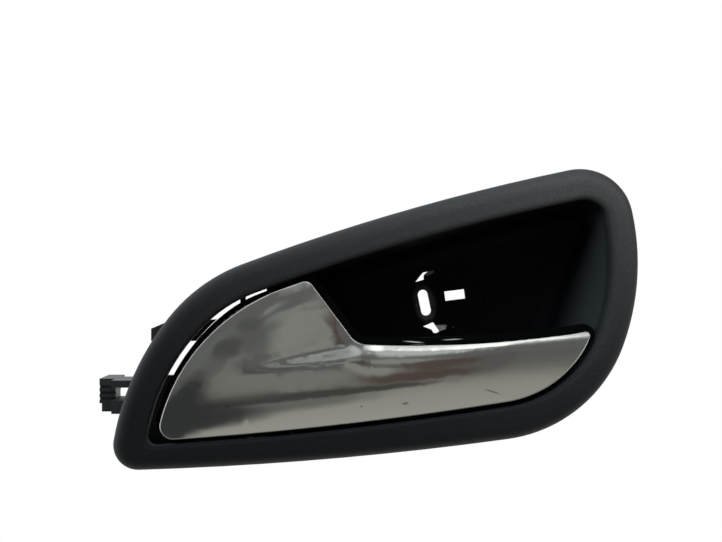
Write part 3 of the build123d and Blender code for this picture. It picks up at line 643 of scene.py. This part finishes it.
@dataclass(frozen=True)
class Patch:
    """One soft oval on the reflection screen, in metres across it and degrees up it.

    The label names the part of the lever where most of its mirror image shows.
    """

    label: str
    x: float
    rise: float
    width: float
    height: float
    tone: str
    softness: float
    lean: float = 0.0
    glow: float = 1.0

    def lay(self, tree: Tree, place: Source, under: Source) -> bpy.types.Node:
        """Lay the oval over the screen's colour so far.

        Args:
            tree: The screen's node tree.
            place: The metres across and the degrees up.
            under: The colour so far.

        Returns:
            Node with the new colour.
        """
        away = add(tree, "VectorMath", {"operation": "SUBTRACT", "label": self.label}, i0=place,
                   i1=(self.x, self.rise, 0.0))
        across = add(tree, "VectorMath", DOT, i0=away, i1=(2 / self.width, 0.0, 0.0))
        up = add(tree, "VectorMath", DOT, i0=away, i1=(-2 * self.lean / self.height, 2 / self.height, 0.0))
        reach = add(tree, "VectorMath", LENGTH, i0=add(tree, "CombineXYZ", X=across, Y=up))
        edge = Range(1 + self.softness, 1 - self.softness)
        share = add(tree, "MapRange", EASED, Value=reach, **edge.source())
        light = tuple(value * self.glow for value in linear(self.tone))
        return add(tree, "Mix", COLOURS, i0=share, i6=under, i7=light)


@dataclass
class Studio:
    """Pale floor, white surround, soft lamps, a reflection screen in front, and the camera.

    The screen's tones run up its curve by elevation in degrees. The patches lie over them, and a
    later patch covers an earlier one.
    """

    camera_place: Place = (-22.2 * MM, -460.0 * MM, 11.1 * MM)
    lens: float = 65.05
    sensor: float = 36.0
    clip_start: float = 0.01
    sky_strength: float = 0.55
    floor_z: float = -1.25
    floor_size: float = 8.0
    floor_tone: str = "#f4f4f4"
    lamp_aim: Place = (-0.02, -0.03, 0.0)
    key_place: Place = (0.25, -0.70, 0.80)
    key_size: float = 0.6
    key_power: float = 11.5
    fill_place: Place = (-0.45, -0.60, 0.35)
    fill_size: float = 0.3
    fill_power: float = 3.0
    screen_radius: float = 1.1
    screen_width: float = 3.2
    screen_low: float = -80.0
    screen_high: float = 100.0
    screen_steps: int = 48
    tones: tuple[tuple[float, str], ...] = (
        (-80, "#989490"), (-46, "#93908b"), (-37, "#b8b6b1"), (-28, "#b2afa9"), (-20, "#aeaba5"),
        (-14, "#a4a19b"), (-10, "#928f8b"), (-7, "#83817d"), (-4, "#767471"), (-1, "#727170"),
        (6, "#6f6f6e"), (14, "#737373"), (22, "#717171"), (29, "#757677"), (34, "#868889"),
        (39, "#c4c6c8"), (43, "#f6f7f8"), (52, "#ffffff"), (60, "#b0b2b4"), (68, "#8a8c8e"),
        (78, "#8a8c8e"), (86, "#ffffff"), (100, "#ffffff"),
    )
    patches: tuple[Patch, ...] = (
        Patch("wing, left edge", -0.350, 4.0, 0.350, 12.0, "#777877", 0.3),
        Patch("wing, beside the dome", -0.075, 3.2, 0.035, 5.0, "#8c8d8a", 0.3),
        Patch("wing, dome, top", -0.035, 2.8, 0.058, 6.6, "#989995", 0.25),
        Patch("bar, light strip", -0.110, -5.8, 0.190, 4.4, "#8d8d89", 0.35),
        Patch("wing, dome", -0.014, -1.8, 0.054, 6.0, "#a0a19b", 0.2),
        Patch("step, left end", -0.120, 8.6, 0.045, 5.2, "#989996", 0.3),
        Patch("step, left", -0.110, 22.5, 0.085, 13.0, "#a6a8a7", 0.35),
        Patch("step, middle", -0.035, 25.0, 0.140, 12.0, "#b8bcbc", 0.6),
        Patch("step, right end", 0.000, 30.0, 0.110, 12.0, "#d4d8d8", 0.45),
        Patch("grip, root", 0.000, 10.5, 0.070, 10.0, "#9c9d99", 0.35),
        Patch("grip, right", 0.112, 4.0, 0.125, 24.0, "#6c6967", 0.3),
        Patch("grip, middle", 0.057, 2.2, 0.088, 12.5, "#615450", 0.22),
        Patch("grip, top edge, left", -0.045, 47.0, 0.110, 10.0, "#b4b7b7", 0.35),
        Patch("grip, top edge, middle", 0.050, 40.5, 0.100, 11.0, "#ffffff", 0.5, glow=1.9),
        Patch("grip, top edge, right", 0.190, 46.0, 0.340, 6.0, "#ffffff", 0.4, glow=1.6),
        Patch("bar, lower middle", -0.065, -16.0, 0.150, 11.0, "#7d7c79", 0.6),
        Patch("bar, dark band", -0.080, -10.9, 0.320, 5.4, "#4f4f4c", 0.15),
        Patch("bar, dark left", -0.400, -16.5, 0.600, 34.0, "#3f4041", 0.1, lean=-20.0),
        Patch("grip, lower part", 0.045, -6.2, 0.130, 4.8, "#5f504c", 0.2),
        Patch("wing, upper blotch", -0.185, 5.6, 0.210, 4.6, "#626362", 0.12, lean=-43.0),
        Patch("wing, left blotch", -0.250, 1.2, 0.260, 5.0, "#5a5b5a", 0.12, lean=-29.0),
        Patch("wing, middle blotch", -0.080, -1.8, 0.090, 5.0, "#6b6c6b", 0.3),
    )

    def world(self) -> None:
        """White surround for camera, glossy and transmission rays, and a softer sky for diffuse ones."""
        world = bpy.data.worlds.new("white_surround")
        bpy.context.scene.world = world
        world.use_nodes = True
        tree = world.node_tree
        tree.nodes.clear()
        soft = add(tree, "Background", Color=linear(WHITE), Strength=self.sky_strength)
        white = add(tree, "Background", Color=linear(WHITE), Strength=1.0)
        both = add(tree, "MixShader", i0=seen_directly(tree), i1=soft, i2=white)
        output = add(tree, "OutputWorld", Surface=both)
        output.is_active_output = True

    def floor(self) -> None:
        """Lay a pale floor below the handle, white to the camera and to reflections."""
        form = bmesh.new()
        bmesh.ops.create_grid(form, x_segments=1, y_segments=1, size=self.floor_size)
        bmesh.ops.translate(form, verts=form.verts, vec=Vector((0, 0, self.floor_z)))
        floor = put_form("floor", form)
        material, tree = fresh_material("pale_floor")
        pale = add(tree, "BsdfDiffuse", Color=linear(self.floor_tone))
        white = add(tree, "Emission", Color=linear(WHITE), Strength=1.0)
        both = add(tree, "MixShader", i0=seen_directly(tree), i1=pale, i2=white)
        add(tree, "OutputMaterial", Surface=both)
        dress(floor, material)

    def screen(self) -> None:
        """Curve a toned reflection screen round the front, so that the plate shows soft bands."""
        rim = Range(math.radians(self.screen_low), math.radians(self.screen_high))
        form = bmesh.new()
        start = form.verts.new((-self.screen_width / 2, -self.screen_radius, 0.0))
        end = form.verts.new((self.screen_width / 2, -self.screen_radius, 0.0))
        edge = form.edges.new((start, end))
        bmesh.ops.rotate(form, verts=[start, end], cent=(0, 0, 0), matrix=Matrix.Rotation(-rim.start, 3, "X"))
        bmesh.ops.spin(form, geom=[edge, start, end], cent=(0, 0, 0), axis=(1, 0, 0),
                       angle=rim.start - rim.full, steps=self.screen_steps)
        screen = put_form("reflection_screen", form)
        material, tree = fresh_material("grey_screen")
        place = add(tree, "SeparateXYZ", Vector=add(tree, "TexCoord").outputs["Object"]).outputs
        front = add(tree, "Math", TIMES, i0=place["Y"], i1=-1.0)
        rise = add(tree, "Math", {"operation": "ARCTAN2"}, i0=place["Z"], i1=front)
        tone = add(tree, "ValToRGB", Fac=add(tree, "MapRange", Value=rise, **rim.source()))
        self.paint(tone.color_ramp)
        degrees = add(tree, "Math", {"operation": "DEGREES"}, i0=rise)
        spot = add(tree, "CombineXYZ", X=place["X"], Y=degrees)
        for patch in self.patches:
            tone = patch.lay(tree, spot, tone)
        add(tree, "OutputMaterial", Surface=add(tree, "Emission", Color=tone, Strength=1.0))
        dress(screen, material)
        screen.visible_camera = False

    def paint(self, ramp: bpy.types.ColorRamp) -> None:
        """Set the screen's tones by elevation.

        Args:
            ramp: The colour ramp to fill, from the screen's low to its high edge.
        """
        span = self.screen_high - self.screen_low
        while len(ramp.elements) < len(self.tones):
            ramp.elements.new(0.5)
        for element, (angle, _) in zip(ramp.elements, self.tones):
            element.position = (angle - self.screen_low) / span
        for element, (_, code) in zip(ramp.elements, self.tones):
            element.color = linear(code)

    def lamp(self, name: str, place: Place, size: float, power: float) -> None:
        """Hang one soft square lamp that faces the handle.

        Args:
            name: The lamp's name.
            place: Where it hangs, in metres.
            size: The length of its side, in metres.
            power: Its power in watts.
        """
        data = bpy.data.lights.new(name, "AREA")
        data.size = size
        data.energy = power
        lamp = put(name, data)
        lamp.location = place
        towards = Vector(self.lamp_aim) - Vector(place)
        lamp.rotation_euler = towards.to_track_quat("-Z", "Y").to_euler()
        lamp.visible_glossy = False

    def camera(self) -> None:
        """Set the camera square in front of the flange, as the photograph was taken."""
        data = bpy.data.cameras.new("camera")
        data.sensor_width = self.sensor
        data.lens = self.lens
        data.clip_start = self.clip_start
        camera = put("camera", data)
        camera.location = self.camera_place
        camera.rotation_euler = (math.radians(90), 0.0, 0.0)
        bpy.context.scene.camera = camera

    def build(self) -> None:
        """Set the stage, the lamps and the camera."""
        bpy.context.scene.view_settings.view_transform = "Standard"
        self.world()
        self.floor()
        self.screen()
        self.lamp("key_softbox", self.key_place, self.key_size, self.key_power)
        self.lamp("fill_softbox", self.fill_place, self.fill_size, self.fill_power)
        self.camera()


def main() -> None:
    """Load the frame, dress every piece and set the studio."""
    logging.basicConfig(level=logging.INFO, format="%(name)s: %(message)s")
    for spare in list(bpy.data.objects):
        bpy.data.objects.remove(spare)
    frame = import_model()
    for assembly in (Bezel(), Lever(), Carrier()):
        assembly.build(frame["nodes"])
    for name, piece in frame["nodes"].items():
        LOG.info("%s: %s", name, piece.active_material.name)
    Studio().build()


if __name__ == "__main__":
    main()
